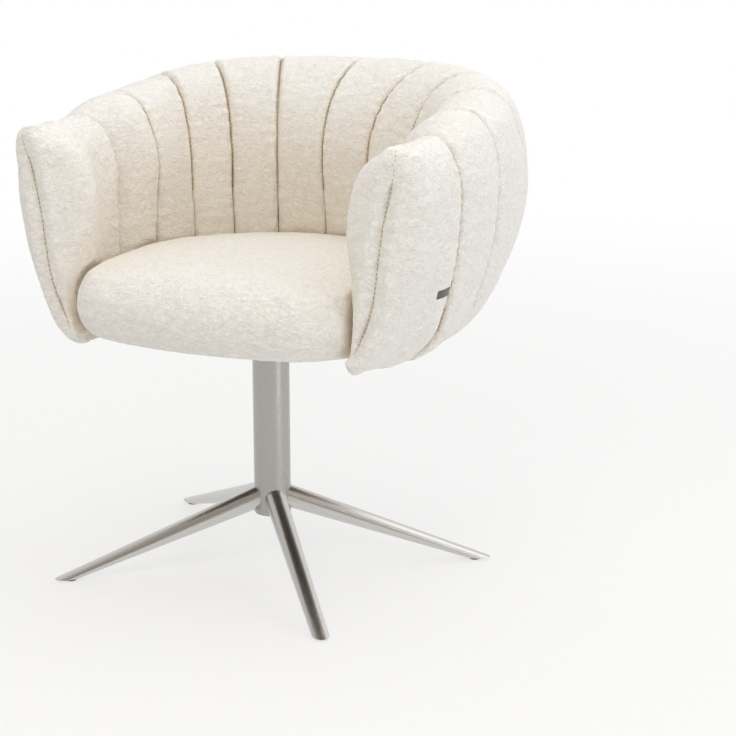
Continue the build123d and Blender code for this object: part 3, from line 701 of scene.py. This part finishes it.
def blank_plate(arm):
    """Small blank metal plate, bowed to the outer side of the +X arm that carries it.

    The grid's faces look outwards, so the plate's thickness goes into the cloth.
    """
    tree = ray_tree([arm])
    work = bmesh.new()
    bmesh.ops.create_grid(work, x_segments=plate_columns, y_segments=plate_rows, size=0.5)
    cells = [(round((vertex.co.y + 0.5) * plate_rows), round((vertex.co.x + 0.5) * plate_columns))
             for vertex in work.verts]
    reach = np.zeros((plate_rows + 1, plate_columns + 1))
    for vertex, cell in zip(work.verts, cells):
        along = plate_middle_y + plate_width * (cell[1] / plate_columns - 0.5)
        up = plate_middle_z + plate_height * (cell[0] / plate_rows - 0.5)
        reach[cell] = tree.ray_cast(Vector((1, along, up)), Vector((-1, 0, 0)))[0].x
        vertex.co = (0, along, up)
    places = np.arange(plate_columns + 1)
    bow = np.polyval(np.polyfit(places, reach.mean(axis=0), 2), places) + plate_lift
    lean = np.polyfit(np.arange(plate_rows + 1), reach.mean(axis=1), 1)[0]
    for vertex, (row, column) in zip(work.verts, cells):
        vertex.co.x = bow[column] + lean * (row - plate_rows / 2)
    piece = linked_from(work, "blank_plate")
    thick = piece.modifiers.new("Solidify", "SOLIDIFY")
    thick.thickness = plate_thickness
    bevel = piece.modifiers.new("Bevel", "BEVEL")
    bevel.width = plate_bevel
    bevel.segments = plate_bevel_steps
    apply_modifiers(piece)
    # Dark nickel-plated steel, satin: a small grey mirror that takes the light of whatever it faces
    rides_seat(piece, plain_finish("satin_nickel_plate", "#5C5B59", "#6C6B69", 1 * mm, 0.35, 1.0))


def add_light(name, place, target, size, power, colour, hidden):
    """A soft square lamp that faces a point, and isn't seen by the kinds of ray it is hidden from."""
    data = bpy.data.lights.new(name, "AREA")
    data.shape = "RECTANGLE"
    data.size, data.size_y = size
    data.energy = power
    data.color = rgb(colour)[:3]
    lamp = bpy.data.objects.new(name, data)
    lamp.location = place
    for kind in hidden:
        setattr(lamp, f"visible_{kind}", False)
    lamp.rotation_euler = (Vector(target) - Vector(place)).to_track_quat("-Z", "Y").to_euler()
    bpy.context.scene.collection.objects.link(lamp)


def floor_material():
    """White vinyl studio floor: dull, keeps the soft shadow, and fades into the white background."""
    material, tree, shader, place = new_material("white_vinyl_floor")
    speck = add(tree, "ShaderNodeTexNoise", inputs={"Vector": place, "Scale": per_metre(20 * mm), "Detail": 3.0})
    tint = colours(tree, speck.outputs["Fac"], [(0.3, "#F2F2F2"), (0.7, "#F5F5F5")])
    tree.links.new(tint, shader.inputs["Base Color"])
    shader.inputs["Roughness"].default_value = 0.6
    away = add(tree, "ShaderNodeVectorMath", {"operation": "LENGTH"}, {0: place})
    far = add(tree, "ShaderNodeMapRange", {"interpolation_type": "SMOOTHSTEP"}, {
        "Value": away.outputs["Value"], "From Min": 0.5, "From Max": 3.0, "To Min": 0.7, "To Max": 1.0})
    path = add(tree, "ShaderNodeLightPath")
    seen = add(tree, "ShaderNodeMath", {"operation": "MAXIMUM"},
               {0: path.outputs["Is Camera Ray"], 1: path.outputs["Is Glossy Ray"]})
    fade = add(tree, "ShaderNodeMath", {"operation": "MULTIPLY"},
               {0: far.outputs["Result"], 1: seen.outputs["Value"]})
    glow = add(tree, "ShaderNodeMapRange", inputs={
        "Value": far.outputs["Result"], "From Min": 0.7, "To Min": 0.94, "To Max": 1.0})
    white = add(tree, "ShaderNodeEmission", inputs={"Color": rgb("#FFFFFF"), "Strength": glow.outputs["Result"]})
    mix = add(tree, "ShaderNodeMixShader", inputs={
        "Fac": fade.outputs["Value"], 1: shader.outputs["BSDF"], 2: white.outputs["Emission"]})
    tree.links.new(mix.outputs["Shader"], tree.nodes["Material Output"].inputs["Surface"])
    return material


def make_floor():
    """The round studio floor."""
    work = bmesh.new()
    bmesh.ops.create_circle(work, cap_ends=True, radius=floor_radius, segments=floor_segments)
    floor = linked_from(work, "floor")
    floor.data.materials.append(floor_material())


def make_surroundings():
    """White surroundings: full white to the camera, dimmer and warmer light from the front than from behind."""
    world = bpy.data.worlds.new("studio")
    bpy.context.scene.world = world
    world.use_nodes = True
    tree = world.node_tree
    background = tree.nodes["Background"]
    place = add(tree, "ShaderNodeTexCoord").outputs["Generated"]
    parts = add(tree, "ShaderNodeSeparateXYZ", inputs={0: place})
    side = add(tree, "ShaderNodeMapRange", {"interpolation_type": "SMOOTHSTEP"}, {
        "Value": parts.outputs["Y"], "From Min": -0.95, "From Max": 0.6, "To Min": 0.36, "To Max": 0.9})
    path = add(tree, "ShaderNodeLightPath")
    fill = add(tree, "ShaderNodeMix", {"data_type": "FLOAT"}, {
        "Factor": path.outputs["Is Camera Ray"], "A": side.outputs["Result"], "B": 1.0})
    warm = add(tree, "ShaderNodeMapRange", {"data_type": "FLOAT"}, {
        "Value": parts.outputs["Y"], "From Min": -0.9, "From Max": 0.3})
    tone = add(tree, "ShaderNodeMix", {"data_type": "RGBA"}, {
        "Factor": warm.outputs["Result"], 6: rgb("#F6EBDA"), 7: rgb("#FFFFFF")})
    shown = add(tree, "ShaderNodeMix", {"data_type": "RGBA"}, {
        "Factor": path.outputs["Is Camera Ray"], 6: tone.outputs[2], 7: rgb("#FFFFFF")})
    tree.links.new(fill.outputs["Result"], background.inputs["Strength"])
    tree.links.new(shown.outputs[2], background.inputs["Color"])


def make_camera():
    """The photograph's camera, and the plain view of its colours."""
    data = bpy.data.cameras.new("camera")
    data.lens = camera_lens
    data.sensor_width = sensor_width
    camera = bpy.data.objects.new("camera", data)
    camera.location = camera_place
    camera.rotation_euler = (radians(camera_lean), 0, radians(camera_turn))
    bpy.context.scene.collection.objects.link(camera)
    bpy.context.scene.camera = camera
    bpy.context.scene.view_settings.view_transform = "Standard"


def dress(nodes, material):
    """Gives CAD nodes a finish."""
    for node in nodes:
        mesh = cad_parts[node].data
        mesh.materials.clear()
        mesh.materials.append(material)


make_floor()
make_surroundings()
for lamp in lamps:
    add_light(*lamp)
make_camera()

# The last colour is the painted warm shade of the padding's folds
cover = boucle("cream_wool_boucle", "#EAE8E3", "#FCFBFA", "#FFF7EA")
padding = make_padding(cover)
edge_wrap(cover)
seam_threads_and_shade(padding.values())
blank_plate(padding["arm_front_left"])

# Stainless tube, brushed along its length: soft upright streaks
dress(["column_tube", "column_cap"],
      brushed_steel("satin_stainless_steel", ("#A8A5A0", "#B1AEA9"), 0.25, 0.6 * mm, (1, 1, 0.03)))
# Blasted stainless steel: the same grey without streaks, and a softer shine
dress([f"leg_{name}" for name in foot_names],
      brushed_steel("bead_blasted_stainless_steel", ("#CDCBC8", "#D2D0CD"), 0.28, 0.7 * mm, (1, 1, 1)))
# Zinc plating: pale, faintly blue and a little mottled
dress(["spindle", "spindle_washer", "retaining_ring", "bolt_washers", "mounting_bolts", "tee_nuts", "wall_screws",
       "glide_screws"], plain_finish("zinc_plated_steel", "#9FA2A6", "#B9BCC0", 3 * mm, 0.35, 1.0))
# Ground and hardened steel: clean, almost a mirror
dress(["bearing_lower_race", "bearing_upper_race", "bearing_balls"],
      plain_finish("ground_bearing_steel", "#A8A9AB", "#BFC0C2", 2 * mm, 0.18, 1.0))
# Powder coat: black and even, with a fine pebble in its shine
dress(["mounting_plate"], plain_finish("black_powder_coated_steel", "#17181A", "#222326", 1.2 * mm, 0.5))
# Turned nylon: deep black with a soft shine
dress(["upper_bush", "lower_bush", "bearing_cage"], plain_finish("black_nylon", "#131314", "#1D1D1F", 2 * mm, 0.45))
# Moulded polyethylene: black and waxy, duller than the nylon
dress([f"glide_{name}" for name in foot_names],
      plain_finish("black_polyethylene", "#141414", "#202021", 1.5 * mm, 0.55))
# Birch plywood, sanded and bare: pale honey with its grain from front to back
dress(["seat_board", "bent_wall", "corner_blocks"],
      plain_finish("birch_plywood", "#C8A373", "#DDBE92", 4 * mm, 0.6, stretch=(1, 0.08, 1)))
# Bonded fibre cloth: flat black with no shine
dress(["dust_cover"], plain_finish("black_nonwoven_cloth", "#0F0F10", "#1A1A1B", 1.0 * mm, 0.9))
